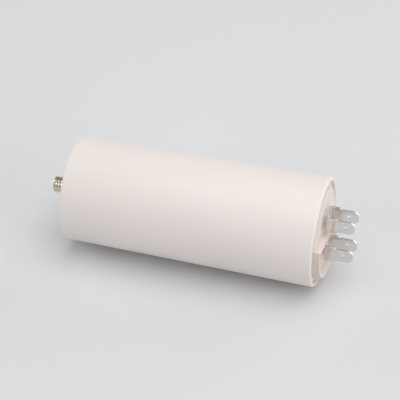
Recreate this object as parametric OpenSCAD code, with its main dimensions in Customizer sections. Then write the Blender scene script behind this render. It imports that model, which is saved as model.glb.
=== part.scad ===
// Motor run capacitor: moulded plastic case with a threaded stud in its base,
// a recessed lid with a D-shaped barrier collar and two double push-on terminals.
// Millimetres, +Z up. The case lies on its side with its axis along X, stud at -X, terminals at +X.
// Each piece is drawn upright on the case axis, with z measured from the closed base, and then laid down.

/* [Case] */
// Outside diameter at the open rim
case_d = 50; // [49:0.5:56]
// Length from the closed base to the rim
case_len = 117; // [105:1:140]
// Moulding draft of the side wall, in degrees
case_draft = 0.5; // [0:0.05:0.7]
// Wall thickness at the rim, beside the lid
rim_wall = 1.8; // [1.4:0.1:2.2]
// Thickness of the closed base
base_thick = 3; // [2.5:0.1:4]
// Outside rounding of the base edge
base_round = 1.5; // [0.75:0.25:3]
// Outside rounding of the rim edge
rim_round = 0.5; // [0.2:0.1:1.2]

/* [Mounting stud] */
// Major diameter of the stud thread
stud_d = 8; // [6:1:10]
// Length that stands out of the base
stud_len = 10.4; // [8:0.2:16]
// Chamfer at the stud tip
stud_tip = 0.9; // [0.5:0.1:1.2]
// How much thinner the plain neck inside the base is than the thread
stud_relief = 0.8; // [0.4:0.1:1.2]
// Width of the shallow recess in the base around the thread
recess_w = 0.4; // [0.2:0.1:1]
// Depth of that recess
recess_depth = 0.5; // [0.3:0.1:0.8]
// Width across flats of the hexagon head moulded into the base
stud_head_af = 13; // [12.5:0.5:15]
// Height of that head
stud_head_h = 4; // [3:0.5:5]
// Depth of the head's underside in the base
stud_head_sink = 0.6; // [0:0.1:1]
// Plastic around and over the head
boss_wall = 2; // [1.5:0.5:3]

/* [Lid] */
// Depth of the ledge that the lid stands on, below the rim
lid_seat = 7; // [6:0.5:9]
// Width of that ledge
seat_ledge = 0.9; // [0.6:0.1:1.2]
// Radial clearance of the lid flange in the mouth of the case
lid_fit = 0.1; // [0.05:0.05:0.2]
// Width of the open groove between deck and rim wall
groove_w = 2.9; // [2:0.1:3.5]
// Depth of the groove floor below the rim
groove_depth = 1.4; // [0.8:0.1:4.5]
// Thickness of the deck, which is flush with the rim
deck_thick = 2.2; // [1.8:0.2:3]
// Wall of the hollow underside of the lid
lid_skirt = 2.4; // [1.8:0.2:3]
// Height of the round seats under the terminals
post_h = 1.2; // [0.6:0.1:1.6]
// Diameter of those seats
post_d = 6.6; // [5.6:0.2:7.6]
// Height of the barrier collar above the deck
collar_h = 2.9; // [1.5:0.1:4]
// Thickness of the round wall of the collar
collar_wall = 1.6; // [1.2:0.1:2.2]
// Distance of the barrier's upper face from the axis
barrier_y = 0.9; // [0.3:0.1:1.8]
// Turn of the collar about the axis, near end of the barrier high, in degrees
collar_turn = 8.6; // [0:0.2:9]
// Thickness of the barrier
barrier_t = 1.6; // [1.2:0.1:2]

/* [Terminals] */
// Distance between the two terminals
pitch = 16; // [15.2:0.2:18]
// Distance between the two blades of a terminal, centre to centre
blade_gap = 8.3; // [7.6:0.1:8.6]
// Width of a push-on tab
tab_w = 6.3; // [5.6:0.1:6.6]
// Sheet thickness
tab_t = 0.8; // [0.5:0.1:1]
// Length of the narrow tab, shoulder to tip
tab_len = 7.8; // [7:0.1:9]
// Tip chamfer across the tab
tip_w = 1.3; // [0.8:0.1:1.6]
// Tip chamfer along the tab
tip_l = 1.8; // [1:0.1:2.4]
// Width of the wide root below the shoulders
root_w = 8; // [7.2:0.2:9]
// Height of the root, underside of the web to the top of the shoulder
root_h = 5.6; // [4.4:0.1:7]
// Length of the sloping shoulder
shoulder_l = 0.8; // [0.4:0.1:1]
// Outside radius of the two bends
bend_r = 1.3; // [1.2:0.1:1.8]
// Latch hole in each tab
latch_d = 1.8; // [1.2:0.1:2.2]
// Latch hole centre to the tip
latch_back = 4.4; // [3.6:0.1:5]

/* [Rivets] */
// Shank diameter
rivet_d = 3; // [2.4:0.1:3.6]
// Head and tail diameter
rivet_head_d = 4.8; // [4.2:0.2:5.4]
// Head and tail height
rivet_head_h = 0.9; // [0.6:0.1:1.2]
// Radial clearance of the shank in its holes
rivet_fit = 0.05; // [0.05:0.05:0.15]

/* [Wound element] */
// Resin around the film winding, at the base end
wind_gap = 0.9; // [0.6:0.1:3]
// Outside diameter of the winding core tube
core_d = 10; // [8.6:0.2:13]
// Wall of the core tube
core_wall = 1.2; // [0.8:0.1:1.6]
// Thickness of the sprayed metal contact on each end
spray_t = 0.8; // [0.5:0.1:1.2]
// Width of the lead strips
lead_w = 5; // [3:0.5:5.4]
// Thickness of the lead strips
lead_t = 0.5; // [0.3:0.1:0.8]
// Lug metal left beyond the rivet tail
lug_margin = 1.2; // [0.8:0.1:2]
// Length of the lead foot that lies on a sprayed end
foot_len = 4; // [2.5:0.5:4.5]
// Room between the stud boss and the wound element
room_base = 3; // [2:0.5:6]
// Room between the lid and the wound element
room_lid = 4; // [2.5:0.5:8]

/* [Hidden] */
$fn = 96;
eps = 0.01;
rim_r = case_d / 2;
slope = tan(case_draft);
base_r = rim_r - case_len * slope;
mouth_r = rim_r - rim_wall;
seat_z = case_len - lid_seat;
bore_top_r = mouth_r - seat_ledge;
bore_low_r = bore_top_r - (seat_z - base_thick) * slope;
head_low_z = base_thick - stud_head_sink;
neck_r = stud_d / 2 - stud_relief / 2;
boss_top_z = head_low_z + stud_head_h + boss_wall;
boss_r = stud_head_af / 2 / cos(30) + boss_wall;
deck_r = mouth_r - groove_w;
skirt_r = deck_r - lid_skirt;
web_z = case_len + post_h;
root_top = root_h + tab_len;
bracket_w = blade_gap / 2 + tab_t / 2;
lug_top_z = case_len - deck_thick;
lug_low_z = lug_top_z - lead_t;
element_z0 = boss_top_z + room_base;
element_z1 = seat_z - room_lid;
core_r = core_d / 2;
core_bore_r = core_r - core_wall;
wind_r = bore_low_r - wind_gap;
lug_end = pitch / 2 + rivet_head_d / 2 + lug_margin;
lug_start = pitch / 2 - rivet_head_d / 2 - lug_margin / 2;
foot_end = lug_end + foot_len;
base_x = (stud_len - web_z - root_top) / 2;

// Points of a quarter round about (cx, cy)
function arc(cx, cy, r, a0, a1, n = 6) =
    [for (i = [0:n]) [cx + r * cos(a0 + (a1 - a0) * i / n), cy + r * sin(a0 + (a1 - a0) * i / n)]];

// Lays a piece down: its axis along +X, its y upward, the rim resting on the floor
module lay() {
    translate([base_x, 0, rim_r])
        rotate([90, 0, 90])
            children();
}

// Outside form of the case, with draft, rounded base edge and rounded rim edge
module case_outside() {
    rotate_extrude()
        polygon(concat(
            [[0, 0]],
            arc(base_r + base_round * slope - base_round, base_round, base_round, -90, 0),
            arc(rim_r - rim_round * slope - rim_round, case_len - rim_round, rim_round, 0, 90, 4),
            [[0, case_len]]));
}

// Room inside the case below the lid ledge, drafted like the outside
module case_bore() {
    rotate_extrude()
        polygon([[0, base_thick], [bore_low_r, base_thick], [bore_top_r, seat_z], [0, seat_z]]);
}

module stud_boss() {
    translate([0, 0, base_thick - eps])
        cylinder(r = boss_r, h = boss_top_z - base_thick + eps);
}

module stud_solid() {
    rotate_extrude()
        polygon([[0, -stud_len], [stud_d / 2 - stud_tip, -stud_len], [stud_d / 2, -stud_len + stud_tip],
                 [stud_d / 2, 0], [neck_r, 0], [neck_r, head_low_z], [0, head_low_z]]);
    translate([0, 0, head_low_z - eps])
        cylinder(d = stud_head_af / cos(30), h = stud_head_h + eps, $fn = 6);
}

module case() {
    color([0.93, 0.91, 0.88])
        lay()
            difference() {
                case_outside();
                difference() {
                    case_bore();
                    stud_boss();
                }
                translate([0, 0, seat_z])
                    cylinder(r = mouth_r, h = lid_seat + 1);
                translate([0, 0, -1])
                    cylinder(r = stud_d / 2 + recess_w, h = 1 + recess_depth);
                stud_solid();
            }
}

module mounting_stud() {
    color([0.78, 0.7, 0.5])
        lay()
            stud_solid();
}

// Hollow under the lid, open towards the wound element
module lid_hollow() {
    rotate_extrude()
        polygon([[0, seat_z], [skirt_r, seat_z], [skirt_r, lug_top_z], [0, lug_top_z]]);
}

// D-shaped plan of the collar: a disc, cut off straight at the barrier
module collar_plan(r, level) {
    intersection() {
        circle(r = r);
        rotate(-collar_turn)
            translate([-2 * r, -2 * r])
                square([4 * r, 2 * r + level]);
    }
}

module lid() {
    color([0.9, 0.87, 0.83])
        lay()
            difference() {
                union() {
                    translate([0, 0, seat_z])
                        cylinder(r = mouth_r - lid_fit, h = lid_seat - groove_depth);
                    translate([0, 0, seat_z])
                        cylinder(r = deck_r, h = lid_seat);
                    for (s = [-1, 1])
                        translate([0, s * pitch / 2, case_len - 1])
                            cylinder(d = post_d, h = 1 + post_h);
                    translate([0, 0, case_len - 1])
                        linear_extrude(1 + collar_h)
                            difference() {
                                collar_plan(deck_r, barrier_y);
                                collar_plan(deck_r - collar_wall, barrier_y - barrier_t);
                            }
                }
                lid_hollow();
                for (s = [-1, 1])
                    translate([0, s * pitch / 2, seat_z])
                        cylinder(d = rivet_d + 2 * rivet_fit, h = lid_seat + post_h + 1);
            }
}

// U section of a bracket with rounded bends, web at the bottom
module bracket_section(half, low, r) {
    translate([-half, low + r])
        square([2 * half, root_top - low - r + 1]);
    translate([-half + r, low])
        square([2 * half - 2 * r, r + eps]);
    for (s = [-1, 1])
        translate([s * (half - r), low + r])
            circle(r = r);
}

// Outline of a blade: wide root, sloping shoulders, narrow tab with chamfered tip
module blade_outline() {
    polygon([[-root_w / 2, 0], [root_w / 2, 0], [root_w / 2, root_h - shoulder_l], [tab_w / 2, root_h],
             [tab_w / 2, root_top - tip_l], [tab_w / 2 - tip_w, root_top],
             [tip_w - tab_w / 2, root_top], [-tab_w / 2, root_top - tip_l],
             [-tab_w / 2, root_h], [-root_w / 2, root_h - shoulder_l]]);
}

// Double tab: one strip folded to a U, its web riveted to the lid
module double_tab(y) {
    translate([0, y, web_z])
        difference() {
            intersection() {
                rotate([90, 0, 0])
                    linear_extrude(root_w + 2, center = true)
                        difference() {
                            bracket_section(bracket_w, 0, bend_r);
                            bracket_section(bracket_w - tab_t, tab_t, bend_r - tab_t);
                        }
                rotate([90, 0, 90])
                    linear_extrude(2 * bracket_w + 2, center = true)
                        blade_outline();
            }
            translate([0, 0, root_top - latch_back])
                rotate([0, 90, 0])
                    cylinder(d = latch_d, h = 2 * bracket_w + 2, center = true);
            translate([0, 0, -1])
                cylinder(d = rivet_d + 2 * rivet_fit, h = tab_t + 2);
        }
}

module terminal_upper() {
    color([0.8, 0.8, 0.8])
        lay()
            double_tab(pitch / 2);
}

module terminal_lower() {
    color([0.8, 0.8, 0.8])
        lay()
            double_tab(-pitch / 2);
}

// Set rivet: domed head on the web, tail under the lead lug
module rivet(y) {
    head_z = web_z + tab_t;
    head_r = rivet_head_d / 2;
    tail_z = lug_low_z - rivet_head_h;
    edge = rivet_head_h / 3;
    translate([0, y, 0])
        rotate_extrude()
            polygon([[0, tail_z], [head_r - edge, tail_z], [head_r, tail_z + edge], [head_r, lug_low_z],
                     [rivet_d / 2, lug_low_z], [rivet_d / 2, head_z], [head_r, head_z],
                     [head_r * 0.85, head_z + rivet_head_h * 0.55],
                     [head_r * 0.5, head_z + rivet_head_h * 0.9], [0, head_z + rivet_head_h]]);
}

module terminal_rivets() {
    color([0.75, 0.74, 0.7])
        lay()
            for (s = [-1, 1])
                rivet(s * pitch / 2);
}

// Ring about the case axis
module ring(r_out, r_in, z0, z1) {
    rotate_extrude()
        polygon([[r_in, z0], [r_out, z0], [r_out, z1], [r_in, z1]]);
}

module winding() {
    color([0.75, 0.76, 0.78])
        lay()
            ring(wind_r, core_r, element_z0 + spray_t, element_z1 - spray_t);
}

module winding_core() {
    color([0.85, 0.85, 0.8])
        lay()
            ring(core_r, core_bore_r, element_z0, element_z1);
}

module end_spray_lid() {
    color([0.62, 0.63, 0.65])
        lay()
            ring(wind_r, core_r, element_z1 - spray_t, element_z1);
}

module end_spray_base() {
    color([0.62, 0.63, 0.65])
        lay()
            ring(wind_r, core_r, element_z0, element_z0 + spray_t);
}

// A lead strip from its side profile in (y, z), with the rivet hole in its lug
module strip(points, hole_y) {
    difference() {
        rotate([90, 0, 90])
            linear_extrude(lead_w, center = true)
                polygon(points);
        translate([0, hole_y, lug_low_z - 1])
            cylinder(d = rivet_d + 2 * rivet_fit, h = lead_t + 2);
    }
}

// Short strip from the upper rivet to the sprayed end beside the lid
module lead_lid_solid() {
    strip([[lug_start, lug_low_z], [lug_end - lead_t, lug_low_z],
           [lug_end - lead_t, element_z1], [foot_end, element_z1], [foot_end, element_z1 + lead_t],
           [lug_end, element_z1 + lead_t], [lug_end, lug_top_z], [lug_start, lug_top_z]], pitch / 2);
}

// Long strip from the lower rivet through the core to the sprayed end beside the base
module lead_base_solid() {
    strip([[-lug_end, lug_low_z], [-lead_t / 2, lug_low_z], [-lead_t / 2, element_z0],
           [-foot_end, element_z0], [-foot_end, element_z0 - lead_t], [lead_t / 2, element_z0 - lead_t],
           [lead_t / 2, lug_top_z], [-lug_end, lug_top_z]], -pitch / 2);
}

module lead_lid() {
    color([0.8, 0.6, 0.4])
        lay()
            lead_lid_solid();
}

module lead_base() {
    color([0.8, 0.6, 0.4])
        lay()
            lead_base_solid();
}

// Cast resin in all the room that is left between case, lid and wound element
module potting() {
    color([0.35, 0.33, 0.3])
        lay()
            difference() {
                union() {
                    case_bore();
                    lid_hollow();
                }
                stud_boss();
                ring(wind_r, core_bore_r, element_z0, element_z1);
                lead_lid_solid();
                lead_base_solid();
                for (s = [-1, 1]) {
                    rivet(s * pitch / 2);
                    translate([0, s * pitch / 2, lug_low_z - eps])
                        cylinder(d = rivet_d + 2 * rivet_fit, h = lead_t + 2 * eps);
                }
            }
}

case();
mounting_stud();
lid();
terminal_upper();
terminal_lower();
terminal_rivets();
winding();
winding_core();
end_spray_lid();
end_spray_base();
lead_lid();
lead_base();
potting();
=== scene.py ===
import bmesh
import bpy
import math
from mathutils import Matrix, Vector


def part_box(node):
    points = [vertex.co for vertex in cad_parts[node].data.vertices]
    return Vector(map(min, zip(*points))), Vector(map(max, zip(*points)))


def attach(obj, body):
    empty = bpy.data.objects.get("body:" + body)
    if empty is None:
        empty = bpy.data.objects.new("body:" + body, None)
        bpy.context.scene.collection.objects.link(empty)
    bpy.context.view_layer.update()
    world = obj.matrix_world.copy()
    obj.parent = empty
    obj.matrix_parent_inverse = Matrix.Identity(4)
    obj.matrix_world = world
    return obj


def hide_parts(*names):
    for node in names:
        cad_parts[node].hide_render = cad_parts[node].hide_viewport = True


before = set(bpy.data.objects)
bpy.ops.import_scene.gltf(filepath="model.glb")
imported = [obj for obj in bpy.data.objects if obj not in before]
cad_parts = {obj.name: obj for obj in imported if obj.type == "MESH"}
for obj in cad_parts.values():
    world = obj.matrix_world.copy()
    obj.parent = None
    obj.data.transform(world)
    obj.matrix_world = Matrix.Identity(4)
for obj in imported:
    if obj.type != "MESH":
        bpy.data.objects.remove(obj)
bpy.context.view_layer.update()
mm = 0.001
perMetre = 1000  # millimetres
nearly = 1e-6  # metres, for finding vertices by place
scene = bpy.context.scene
caseLow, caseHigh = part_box("case")
baseX = caseLow.x  # closed base
rimX = caseHigh.x  # open rim
axisZ = (caseLow.z + caseHigh.z) / 2
print("frame loaded, case axis at", round(axisZ / mm, 2), "mm")


# node helpers

def newGroup(name, inputs, outputs):
    group = bpy.data.node_groups.new(name, "ShaderNodeTree")
    for label, kind, value in inputs:
        socket = group.interface.new_socket(
            name=label, in_out="INPUT", socket_type="NodeSocket" + kind)
        if value is not None:
            socket.default_value = value
    for label, kind in outputs:
        group.interface.new_socket(
            name=label, in_out="OUTPUT", socket_type="NodeSocket" + kind)
    start = group.nodes.new("NodeGroupInput")
    end = group.nodes.new("NodeGroupOutput")
    return group, start, end


def addNode(tree, kind, **values):
    node = tree.nodes.new("ShaderNode" + kind)
    for key, value in values.items():
        setattr(node, key, value)
    return node


def feed(tree, socket, value):
    if isinstance(value, bpy.types.NodeSocket):
        tree.links.new(value, socket)
    else:
        socket.default_value = value


def noise(tree, vector, scale, detail, rough):
    node = addNode(tree, "TexNoise")
    feed(tree, node.inputs["Vector"], vector)
    feed(tree, node.inputs["Scale"], scale)
    feed(tree, node.inputs["Detail"], detail)
    feed(tree, node.inputs["Roughness"], rough)
    return node.outputs["Fac"]


def calc(tree, operation, a, b=0.0):
    node = addNode(tree, "Math", operation=operation)
    for socket, value in zip(node.inputs, (a, b)):
        feed(tree, socket, value)
    return node.outputs[0]


def span(tree, value, low, high, toLow=0.0, toHigh=1.0):
    node = addNode(tree, "MapRange")
    rows = (("Value", value), ("From Min", low), ("From Max", high),
            ("To Min", toLow), ("To Max", toHigh))
    for label, item in rows:
        feed(tree, node.inputs[label], item)
    return node.outputs["Result"]


def blendColour(tree, factor, a, b):
    node = addNode(tree, "Mix", data_type="RGBA")
    feed(tree, node.inputs[0], factor)
    feed(tree, node.inputs[6], a)  # sockets 6, 7 and 2 are the colour ones
    feed(tree, node.inputs[7], b)
    return node.outputs[2]


def stretch(tree, vector, scale):
    node = addNode(tree, "Mapping")
    feed(tree, node.inputs["Vector"], vector)
    feed(tree, node.inputs["Scale"], scale)
    return node.outputs["Vector"]


# shared surface effects, with detail and roughness for each noise

skinPattern = {
    "flowStretch": (0.35, 1, 1), "flowNoise": (3.0, 0.55), "flowRange": (0.3, 0.7),
    "flowRoughness": (-0.04, 0.05), "grainNoise": (3.0, 0.6),
    "rubStretch": (0.12, 1.4, 1.4), "rubScale": 1.1, "rubNoise": (4.0, 0.65),
    "rubRange": (0.6, 0.78), "rubTone": 0.6, "rubRoughness": 0.5,
    "grainShare": 0.35, "flowShare": 0.65}


def makeMouldedSkin():
    group, start, end = newGroup(
        "mouldedSkin",
        [("Vector", "Vector", None), ("Colour", "Color", None), ("Shade", "Color", None),
         ("Roughness", "Float", 0.4), ("Flow Scale", "Float", 0.05),
         ("Grain Scale", "Float", 2.0), ("Scuff", "Float", 0.1)],
        [("Colour", "Color"), ("Roughness", "Float"), ("Height", "Float")])
    use = skinPattern
    given = start.outputs
    place = given["Vector"]
    flow = noise(group, stretch(group, place, use["flowStretch"]), given["Flow Scale"], *use["flowNoise"])
    grain = noise(group, place, given["Grain Scale"], *use["grainNoise"])
    rub = noise(group, stretch(group, place, use["rubStretch"]), use["rubScale"], *use["rubNoise"])
    scuff = calc(group, "MULTIPLY", span(group, rub, *use["rubRange"]), given["Scuff"])
    tone = calc(group, "ADD", span(group, flow, *use["flowRange"]),
                calc(group, "MULTIPLY", scuff, use["rubTone"]))
    colour = blendColour(group, tone, given["Colour"], given["Shade"])
    rough = calc(group, "ADD", given["Roughness"],
                 span(group, flow, *use["flowRange"], *use["flowRoughness"]))
    rough = calc(group, "ADD", rough, calc(group, "MULTIPLY", scuff, use["rubRoughness"]))
    height = calc(group, "ADD", calc(group, "MULTIPLY", grain, use["grainShare"]),
                  calc(group, "MULTIPLY", flow, use["flowShare"]))
    group.links.new(colour, end.inputs["Colour"])
    group.links.new(rough, end.inputs["Roughness"])
    group.links.new(height, end.inputs["Height"])
    return group


metalPattern = {
    "lineStretch": (0.06, 1, 1), "lineNoise": (3.0, 0.6), "lineRange": (0.3, 0.7),
    "lineRoughness": (-0.06, 0.06), "patchNoise": (3.0, 0.6), "patchRange": (0.42, 0.72),
    "patchRoughness": 0.15}


def makeRolledMetal():
    group, start, end = newGroup(
        "rolledMetal",
        [("Vector", "Vector", None), ("Colour", "Color", None), ("Tarnish", "Color", None),
         ("Roughness", "Float", 0.25), ("Line Scale", "Float", 1.0),
         ("Patch Scale", "Float", 0.3), ("Patch Amount", "Float", 0.5)],
        [("Colour", "Color"), ("Roughness", "Float"), ("Height", "Float")])
    use = metalPattern
    given = start.outputs
    place = given["Vector"]
    lines = noise(group, stretch(group, place, use["lineStretch"]), given["Line Scale"], *use["lineNoise"])
    patch = noise(group, place, given["Patch Scale"], *use["patchNoise"])
    worn = calc(group, "MULTIPLY", span(group, patch, *use["patchRange"]), given["Patch Amount"])
    colour = blendColour(group, worn, given["Colour"], given["Tarnish"])
    rough = calc(group, "ADD", given["Roughness"],
                 span(group, lines, *use["lineRange"], *use["lineRoughness"]))
    rough = calc(group, "ADD", rough, calc(group, "MULTIPLY", worn, use["patchRoughness"]))
    group.links.new(colour, end.inputs["Colour"])
    group.links.new(rough, end.inputs["Roughness"])
    group.links.new(lines, end.inputs["Height"])
    return group


mouldedSkin = makeMouldedSkin()
rolledMetal = makeRolledMetal()


# materials

plasticDepth = {"glowRadius": (1.0, 0.8, 0.7), "glowScale": 1.2, "bump": 0.05}  # millimetres
metalDepth = {"bump": 0.02}


def newMaterial(name):
    material = bpy.data.materials.new(name)
    material.use_nodes = True
    tree = material.node_tree
    tree.nodes.clear()
    out = addNode(tree, "OutputMaterial")
    shader = addNode(tree, "BsdfPrincipled")
    tree.links.new(shader.outputs["BSDF"], out.inputs["Surface"])
    place = addNode(tree, "TexCoord").outputs["Object"]
    return material, tree, shader, stretch(tree, place, (perMetre,) * 3)  # pattern sizes per millimetre


def useGroup(tree, group, values):
    node = addNode(tree, "Group", node_tree=group)
    for label, value in values.items():
        feed(tree, node.inputs[label], value)
    return node


def bump(tree, shader, height, strength, distance):
    node = addNode(tree, "Bump")
    feed(tree, node.inputs["Height"], height)
    feed(tree, node.inputs["Strength"], strength)
    feed(tree, node.inputs["Distance"], distance)
    tree.links.new(node.outputs["Normal"], shader.inputs["Normal"])


def plasticMaterial(name, look):
    material, tree, shader, place = newMaterial(name)
    skin = useGroup(tree, mouldedSkin, {
        "Vector": place, "Colour": (*look["colour"], 1), "Shade": (*look["shade"], 1),
        "Roughness": look["roughness"], "Flow Scale": look["flowScale"],
        "Grain Scale": look["grainScale"], "Scuff": look["scuff"]})
    tree.links.new(skin.outputs["Colour"], shader.inputs["Base Color"])
    tree.links.new(skin.outputs["Roughness"], shader.inputs["Roughness"])
    shader.inputs["IOR"].default_value = look["ior"]
    shader.inputs["Subsurface Weight"].default_value = look["glowThrough"]
    shader.inputs["Subsurface Radius"].default_value = plasticDepth["glowRadius"]
    shader.inputs["Subsurface Scale"].default_value = plasticDepth["glowScale"] * mm
    bump(tree, shader, skin.outputs["Height"], look["bump"], plasticDepth["bump"] * mm)
    return material


def metalMaterial(name, look):
    material, tree, shader, place = newMaterial(name)
    skin = useGroup(tree, rolledMetal, {
        "Vector": place, "Colour": (*look["colour"], 1), "Tarnish": (*look["tarnish"], 1),
        "Roughness": look["roughness"], "Line Scale": look["lineScale"],
        "Patch Scale": look["patchScale"], "Patch Amount": look["patchAmount"]})
    tree.links.new(skin.outputs["Colour"], shader.inputs["Base Color"])
    tree.links.new(skin.outputs["Roughness"], shader.inputs["Roughness"])
    shader.inputs["Metallic"].default_value = 1.0
    bump(tree, shader, skin.outputs["Height"], look["bump"], metalDepth["bump"] * mm)
    return material, tree, shader, skin


# mesh helpers

def around(v):
    return math.hypot(v.co.y, v.co.z - axisZ)


def vertsOf(geometry):
    return [item for item in geometry if isinstance(item, bmesh.types.BMVert)]


def everything(bm):
    return bm.verts[:] + bm.edges[:] + bm.faces[:]


def drawChain(bm, points):
    chain = [bm.verts.new((baseX + x * mm, 0, axisZ + r * mm)) for x, r in points]
    edges = [bm.edges.new(pair) for pair in zip(chain, chain[1:])]
    return chain, edges


def spinProfile(bm, points, steps):
    chain, edges = drawChain(bm, points)
    bmesh.ops.spin(bm, geom=chain + edges, cent=(0, 0, axisZ), axis=(1, 0, 0), dvec=(0, 0, 0),
                   angle=2 * math.pi, steps=steps, use_merge=True, use_duplicate=False)
    bmesh.ops.remove_doubles(bm, verts=bm.verts, dist=nearly / 10)
    bmesh.ops.recalc_face_normals(bm, faces=bm.faces)


def roundEdges(bm, edges, width, segments):
    bmesh.ops.bevel(bm, geom=edges, offset=width * mm, offset_type="OFFSET", segments=segments,
                    profile=0.5, affect="EDGES", clamp_overlap=True, material=-1)


def roundRing(bm, x, r, width, segments):
    def onRing(v):
        return abs(v.co.x - baseX - x * mm) < nearly and abs(around(v) - r * mm) < nearly

    roundEdges(bm, [e for e in bm.edges if all(onRing(v) for v in e.verts)], width, segments)


def finishPiece(name, bm, material, nodes, sharpAngle=35):
    mesh = bpy.data.meshes.new(name)
    bm.to_mesh(mesh)
    bm.free()
    mesh.materials.append(material)
    mesh.polygons.foreach_set("use_smooth", [True] * len(mesh.polygons))
    mesh.set_sharp_from_angle(angle=math.radians(sharpAngle))
    piece = bpy.data.objects.new(name, mesh)
    scene.collection.objects.link(piece)
    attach(piece, "root")
    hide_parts(*nodes)
    print("made", name, "with", len(mesh.polygons), "faces")
    return piece


def softCopy(nodeName, edge):  # the node's own form with its sharp edges rounded
    bm = bmesh.new()
    bm.from_mesh(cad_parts[nodeName].data)
    bmesh.ops.remove_doubles(bm, verts=bm.verts, dist=nearly)
    bmesh.ops.dissolve_limit(bm, angle_limit=math.radians(edge["flatAngle"]), verts=bm.verts, edges=bm.edges)
    limit = math.radians(edge["sharpAngle"])
    sharp = [e for e in bm.edges if len(e.link_faces) == 2 and e.calc_face_angle() > limit]
    roundEdges(bm, sharp, edge["width"], edge["segments"])
    return bm


def evenNormals(piece, weight=60):
    modifier = piece.modifiers.new("even normals", "WEIGHTED_NORMAL")
    modifier.keep_sharp = True
    modifier.weight = weight


# case, its profile in millimetres from the base and from the axis

caseShell = {
    "steps": 192, "length": (rimX - baseX) / mm, "rim": 25.0, "base": 23.979, "mouth": 23.2,
    "ledge": 22.3, "low": 21.366, "lidSeat": 7.0, "baseThick": 3, "bossTop": 8.4, "boss": 9.5,
    "headFrom": 2.4, "headTo": 6.4, "headRoom": 7.55, "neckHole": 3.62, "recess": 4.4, "recessDepth": 0.5,
    "baseRound": 1.5, "rimRound": 1.0, "rimInside": 0.4}
caseLook = {"colour": (0.86, 0.8, 0.77), "shade": (0.825, 0.762, 0.73), "roughness": 0.42,
            "flowScale": 0.045, "grainScale": 2.4, "scuff": 0.12, "ior": 1.49, "glowThrough": 0.12,
            "bump": 0.12}


def makeCase():
    c = caseShell
    seat = c["length"] - c["lidSeat"]
    bm = bmesh.new()
    spinProfile(bm, [
        (c["headTo"], 0), (c["headTo"], c["headRoom"]), (c["headFrom"], c["headRoom"]),
        (c["headFrom"], c["neckHole"]), (c["recessDepth"], c["neckHole"]),
        (c["recessDepth"], c["recess"]), (0, c["recess"]), (0, c["base"]),
        (c["length"], c["rim"]), (c["length"], c["mouth"]), (seat, c["mouth"]), (seat, c["ledge"]),
        (c["baseThick"], c["low"]), (c["baseThick"], c["boss"]), (c["bossTop"], c["boss"]),
        (c["bossTop"], 0)], c["steps"])
    roundRing(bm, 0, c["base"], c["baseRound"], 7)
    roundRing(bm, c["length"], c["rim"], c["rimRound"], 5)
    roundRing(bm, c["length"], c["mouth"], c["rimInside"], 4)
    finishPiece("caseShell", bm, plasticMaterial("casePlastic", caseLook), ["case"])


makeCase()


# lid

lidEdge = {"width": 0.28, "segments": 3, "sharpAngle": 30, "flatAngle": 0.5}
lidLook = {"colour": (0.84, 0.755, 0.705), "shade": (0.8, 0.71, 0.655), "roughness": 0.55,
           "flowScale": 0.08, "grainScale": 3.0, "scuff": 0.1, "ior": 1.4, "glowThrough": 0.15,
           "bump": 0.08}


def makeLid():
    bm = softCopy("lid", lidEdge)
    piece = finishPiece("lidMoulding", bm, plasticMaterial("lidPlastic", lidLook), ["lid"])
    evenNormals(piece)


makeLid()


# terminals

tabEdge = {"width": 0.11, "segments": 2, "sharpAngle": 30, "flatAngle": 0.5}
tabLook = {"colour": (0.76, 0.75, 0.735), "tarnish": (0.6, 0.585, 0.56), "roughness": 0.15,
           "lineScale": 5.0, "patchScale": 0.35, "patchAmount": 0.45, "bump": 0.15}


def makeTerminals():
    tinned = metalMaterial("tinnedBrass", tabLook)[0]
    for name, nodeName in (("upperTabs", "terminal_upper"), ("lowerTabs", "terminal_lower")):
        piece = finishPiece(name, softCopy(nodeName, tabEdge), tinned, [nodeName])
        evenNormals(piece)


makeTerminals()


# rivets, the dome as steps up from the web and in from the head's edge

rivetShape = {"steps": 48, "shank": 1.5, "head": 2.4, "headHeight": 0.9, "tailEdge": 0.3,
              "dome": [(0.3, 0.08), (0.58, 0.42), (0.78, 0.95)], "crown": 0.85,
              "dimpleEdge": 0.6, "dimpleFloor": 0.3, "dimple": 0.16, "sharpAngle": 40}
rivetLook = {"colour": (0.74, 0.72, 0.68), "tarnish": (0.55, 0.52, 0.47), "roughness": 0.3,
             "lineScale": 3.0, "patchScale": 0.8, "patchAmount": 0.5, "bump": 0.15}


def makeRivets():
    r = rivetShape
    low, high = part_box("terminal_rivets")
    top = (high.x - baseX) / mm
    tail = (low.x - baseX) / mm
    seat = top - r["headHeight"]
    lug = tail + r["headHeight"]
    bm = bmesh.new()
    spinProfile(bm, [
        (tail, 0), (tail, r["head"] - r["tailEdge"]), (tail + r["tailEdge"], r["head"]),
        (lug, r["head"]), (lug, r["shank"]), (seat, r["shank"]), (seat, r["head"]),
        *[(seat + up, r["head"] - inward) for up, inward in r["dome"]],
        (top, r["crown"]), (top, r["dimpleEdge"]), (top - r["dimple"], r["dimpleFloor"]),
        (top - r["dimple"], 0)], r["steps"])
    half = (high.z - low.z) / 2 - r["head"] * mm
    second = vertsOf(bmesh.ops.duplicate(bm, geom=everything(bm))["geom"])
    twin = set(second)
    first = [v for v in bm.verts if v not in twin]
    bmesh.ops.translate(bm, verts=first, vec=(0, 0, half))
    bmesh.ops.translate(bm, verts=second, vec=(0, 0, -half))
    tin = metalMaterial("rivetTin", rivetLook)[0]
    finishPiece("tabRivets", bm, tin, ["terminal_rivets"], r["sharpAngle"])


makeRivets()


# mounting stud, the thread's flats as shares of its pitch

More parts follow.
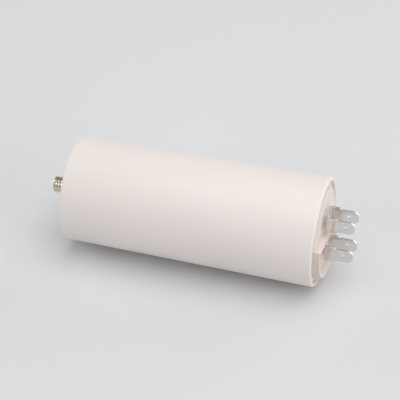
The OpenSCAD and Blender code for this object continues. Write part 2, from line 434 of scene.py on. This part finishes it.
studShape = {"pitch": 1.25, "radius": 4.0, "depth": 0.677, "length": 10.4, "tip": 0.9, "steps": 56,
             "rootFlat": 0.25, "crestFrom": 0.5625, "crestTo": 0.6875, "neck": 3.6, "neckSteps": 48,
             "headFlats": 13.0, "headFrom": 2.4, "headHeight": 4.0, "sharpAngle": 28}
# the root colour and its amount are painted shade in the thread's roots
studLook = {"colour": (0.95, 0.91, 0.82), "tarnish": (0.72, 0.64, 0.5), "roughness": 0.11,
            "lineScale": 4.0, "patchScale": 0.6, "patchAmount": 0.55, "bump": 0.12,
            "paintedRootShadeColour": (0.24, 0.19, 0.14), "paintedRootShadeAmount": 0.5, "rootFrom": 0.02, "rootTo": 0.4,
            "rootRoughness": 0.25, "tipFrom": 0.05, "tipTo": 0.4}


def studMaterial():
    material, tree, shader, skin = metalMaterial("yellowZinc", studLook)
    place = addNode(tree, "TexCoord").outputs["Object"]
    split = addNode(tree, "SeparateXYZ")
    tree.links.new(place, split.inputs[0])
    y = calc(tree, "MULTIPLY", split.outputs["Y"], perMetre)
    z = calc(tree, "MULTIPLY", calc(tree, "SUBTRACT", split.outputs["Z"], axisZ), perMetre)
    squares = calc(tree, "ADD", calc(tree, "MULTIPLY", y, y), calc(tree, "MULTIPLY", z, z))
    low = studShape["radius"] - studShape["depth"]
    root = span(tree, calc(tree, "SQRT", squares), low + studLook["rootFrom"], low + studLook["rootTo"],
                studLook["paintedRootShadeAmount"], 0.0)
    tipX = baseX - studShape["length"] * mm
    behindTip = span(tree, split.outputs["X"], tipX + studLook["tipFrom"] * mm, tipX + studLook["tipTo"] * mm)
    shade = calc(tree, "MULTIPLY", root, behindTip)  # painted shade, darker in the thread's roots, not on the end face
    colour = blendColour(tree, shade, skin.outputs["Colour"], (*studLook["paintedRootShadeColour"], 1))
    tree.links.new(colour, shader.inputs["Base Color"])
    rough = calc(tree, "ADD", skin.outputs["Roughness"],
                 calc(tree, "MULTIPLY", shade, studLook["rootRoughness"]))
    tree.links.new(rough, shader.inputs["Roughness"])
    return material


def threadMesh():
    s = studShape
    pitch, steps = s["pitch"], s["steps"]
    crest, root = s["radius"], s["radius"] - s["depth"]
    tipX = baseX - s["length"] * mm
    turns = math.ceil(s["length"] / pitch) + 2
    begin = -s["length"] - 1.5 * pitch  # starts beyond the tip and is cut off there
    bm = bmesh.new()
    drawChain(bm, [(begin, root), (begin + pitch * s["rootFlat"], root), (begin + pitch * s["crestFrom"], crest),
                   (begin + pitch * s["crestTo"], crest), (begin + pitch, root)])
    bmesh.ops.subdivide_edges(bm, edges=bm.edges[:], cuts=2)
    bmesh.ops.spin(bm, geom=bm.verts[:] + bm.edges[:], cent=(0, 0, axisZ), axis=(1, 0, 0),
                   dvec=(pitch * mm / steps, 0, 0), angle=2 * math.pi * turns, steps=steps * turns,
                   use_duplicate=False)
    bmesh.ops.remove_doubles(bm, verts=bm.verts, dist=2 * nearly)
    for v in bm.verts:  # chamfer the tip
        limit = crest * mm - s["tip"] * mm + max(v.co.x - tipX, 0)
        if around(v) > limit:
            scale = limit / around(v)
            v.co.y *= scale
            v.co.z = axisZ + (v.co.z - axisZ) * scale
    for cut, normal in ((tipX, -1), (baseX, 1)):
        done = bmesh.ops.bisect_plane(bm, geom=everything(bm), dist=nearly / 100, plane_co=(cut, 0, axisZ),
                                      plane_no=(normal, 0, 0), clear_outer=True)
        loop = [e for e in done["geom_cut"] if isinstance(e, bmesh.types.BMEdge)]
        bmesh.ops.edgeloop_fill(bm, edges=loop)
    return bm


def addHead(bm):  # the neck and the hexagon inside the base
    s = studShape
    low = s["headFrom"]
    head = bmesh.new()
    spinProfile(head, [(0, 0), (0, s["neck"]), (low, s["neck"]), (low, 0)], s["neckSteps"])
    turn = Matrix.Translation((baseX + low * mm, 0, axisZ)) @ Matrix.Rotation(math.pi / 2, 4, "Y")
    hexagon = bmesh.ops.create_circle(head, cap_ends=True, segments=6, matrix=turn,
                                      radius=s["headFlats"] / 2 / math.cos(math.pi / 6) * mm)
    face = hexagon["verts"][0].link_faces[0]
    grown = bmesh.ops.extrude_face_region(head, geom=[face], use_keep_orig=True)["geom"]
    bmesh.ops.translate(head, verts=vertsOf(grown), vec=(s["headHeight"] * mm, 0, 0))
    hidden = bpy.data.meshes.new("studHead")
    head.to_mesh(hidden)
    head.free()
    bm.from_mesh(hidden)
    bpy.data.meshes.remove(hidden)


def makeStud():
    bm = threadMesh()
    addHead(bm)
    bmesh.ops.recalc_face_normals(bm, faces=bm.faces)
    finishPiece("threadedStud", bm, studMaterial(), ["mounting_stud"], studShape["sharpAngle"])


makeStud()


# sealed inner pieces

innerLooks = {
    "winding": {"colour": (0.66, 0.68, 0.7), "shade": (0.56, 0.58, 0.61), "roughness": 0.22,
                "flowScale": 0.06, "grainScale": 4.0, "scuff": 0.05, "ior": 1.5, "glowThrough": 0.0,
                "bump": 0.1},
    "winding_core": {"colour": (0.8, 0.79, 0.72), "shade": (0.74, 0.73, 0.65), "roughness": 0.45,
                     "flowScale": 0.1, "grainScale": 2.0, "scuff": 0.1, "ior": 1.49, "glowThrough": 0.0,
                     "bump": 0.1},
    "potting": {"colour": (0.16, 0.14, 0.12), "shade": (0.11, 0.095, 0.08), "roughness": 0.3,
                "flowScale": 0.12, "grainScale": 1.2, "scuff": 0.05, "ior": 1.55, "glowThrough": 0.0,
                "bump": 0.2},
}
sprayLook = {"colour": (0.5, 0.51, 0.53), "tarnish": (0.36, 0.36, 0.37), "roughness": 0.6,
             "lineScale": 2.0, "patchScale": 2.2, "patchAmount": 0.8, "bump": 0.6}
leadLook = {"colour": (0.78, 0.62, 0.45), "tarnish": (0.6, 0.42, 0.27), "roughness": 0.32,
            "lineScale": 4.0, "patchScale": 0.4, "patchAmount": 0.5, "bump": 0.15}


def dressInside():
    finishes = {name: plasticMaterial(name + "Finish", look) for name, look in innerLooks.items()}
    spray = metalMaterial("sprayedZinc", sprayLook)[0]
    strip = metalMaterial("leadStrip", leadLook)[0]
    finishes.update({"end_spray_lid": spray, "end_spray_base": spray, "lead_lid": strip, "lead_base": strip})
    for nodeName, material in finishes.items():
        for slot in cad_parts[nodeName].material_slots:
            slot.material = material
    print("dressed", len(finishes), "inner nodes")


dressInside()


# floor and light

floorLook = {"colour": (0.70, 0.71, 0.725), "roughness": 0.85, "specular": 0.1, "half": 3.0,
             "cloudScale": 0.004, "cloudNoise": (2.0, 0.5), "cloudRange": (0.3, 0.7), "cloudShade": 0.985}
lamps = [  # name, place, size, watts
    ("overhead", (0.2, -0.1, 1.5), (1.6, 1.4), 14.5),
    ("rightSide", (1.35, -0.35, 0.5), (1.0, 0.8), 7.0),
    ("frontFill", (-1.0, -1.0, 0.7), (0.9, 0.7), 3.9),
    ("leftSide", (-1.2, 0.4, 0.3), (0.8, 0.5), 3.6),
    ("rearSide", (0.8, 1.1, 0.6), (1.0, 0.8), 3.6),
]
skyLook = {"colour": (1.0, 0.99, 0.97), "level": 0.3}


def makeFloor():
    bm = bmesh.new()
    bmesh.ops.create_grid(bm, x_segments=2, y_segments=2, size=floorLook["half"])
    mesh = bpy.data.meshes.new("floor")
    bm.to_mesh(mesh)
    bm.free()
    material, tree, shader, place = newMaterial("paleFloor")
    cloud = noise(tree, place, floorLook["cloudScale"], *floorLook["cloudNoise"])
    shade = [part * floorLook["cloudShade"] for part in floorLook["colour"]]
    tint = blendColour(tree, span(tree, cloud, *floorLook["cloudRange"]), (*floorLook["colour"], 1), (*shade, 1))
    tree.links.new(tint, shader.inputs["Base Color"])
    shader.inputs["Roughness"].default_value = floorLook["roughness"]
    shader.inputs["Specular IOR Level"].default_value = floorLook["specular"]
    mesh.materials.append(material)
    floor = bpy.data.objects.new("floor", mesh)
    scene.collection.objects.link(floor)


def makeLight():
    for name, place, size, watts in lamps:
        light = bpy.data.lights.new(name, "AREA")
        light.shape = "RECTANGLE"
        light.size, light.size_y = size
        light.energy = watts
        lamp = bpy.data.objects.new(name, light)
        lamp.location = place
        aim = Vector((0, 0, axisZ)) - Vector(place)
        lamp.rotation_euler = aim.to_track_quat("-Z", "Y").to_euler()
        scene.collection.objects.link(lamp)
    world = bpy.data.worlds.new("studio")
    world.use_nodes = True
    sky = world.node_tree.nodes["Background"]
    sky.inputs["Color"].default_value = (*skyLook["colour"], 1)
    sky.inputs["Strength"].default_value = skyLook["level"]
    scene.world = world
    scene.view_settings.view_transform = "Standard"


makeFloor()
makeLight()
print("stage and", len(lamps), "lamps set")


# camera at the photograph's viewing angle

view = {"azimuth": 16.54, "elevation": 37.83, "distance": 0.7707, "focalPixels": 1700.0,
        "imagePixels": 400.0, "offPixels": (-2.04, 9.40), "sensor": 36.0, "clip": (0.01, 20)}


def makeCamera():
    turn, lift = math.radians(view["azimuth"]), math.radians(view["elevation"])
    ahead = Vector((-math.sin(turn) * math.cos(lift), math.cos(turn) * math.cos(lift), -math.sin(lift)))
    right = Vector((math.cos(turn), math.sin(turn), 0))
    up = right.cross(ahead)
    aim = Vector(((baseX + rimX) / 2, 0, axisZ))
    data = bpy.data.cameras.new("camera")
    data.sensor_width = view["sensor"]
    data.lens = view["sensor"] * view["focalPixels"] / view["imagePixels"]
    data.shift_x = -view["offPixels"][0] / view["imagePixels"]
    data.shift_y = view["offPixels"][1] / view["imagePixels"]
    data.clip_start, data.clip_end = view["clip"]
    camera = bpy.data.objects.new("camera", data)
    spin = Matrix((right, up, -ahead)).transposed()
    camera.matrix_world = Matrix.Translation(aim - ahead * view["distance"]) @ spin.to_4x4()
    scene.collection.objects.link(camera)
    scene.camera = camera


makeCamera()
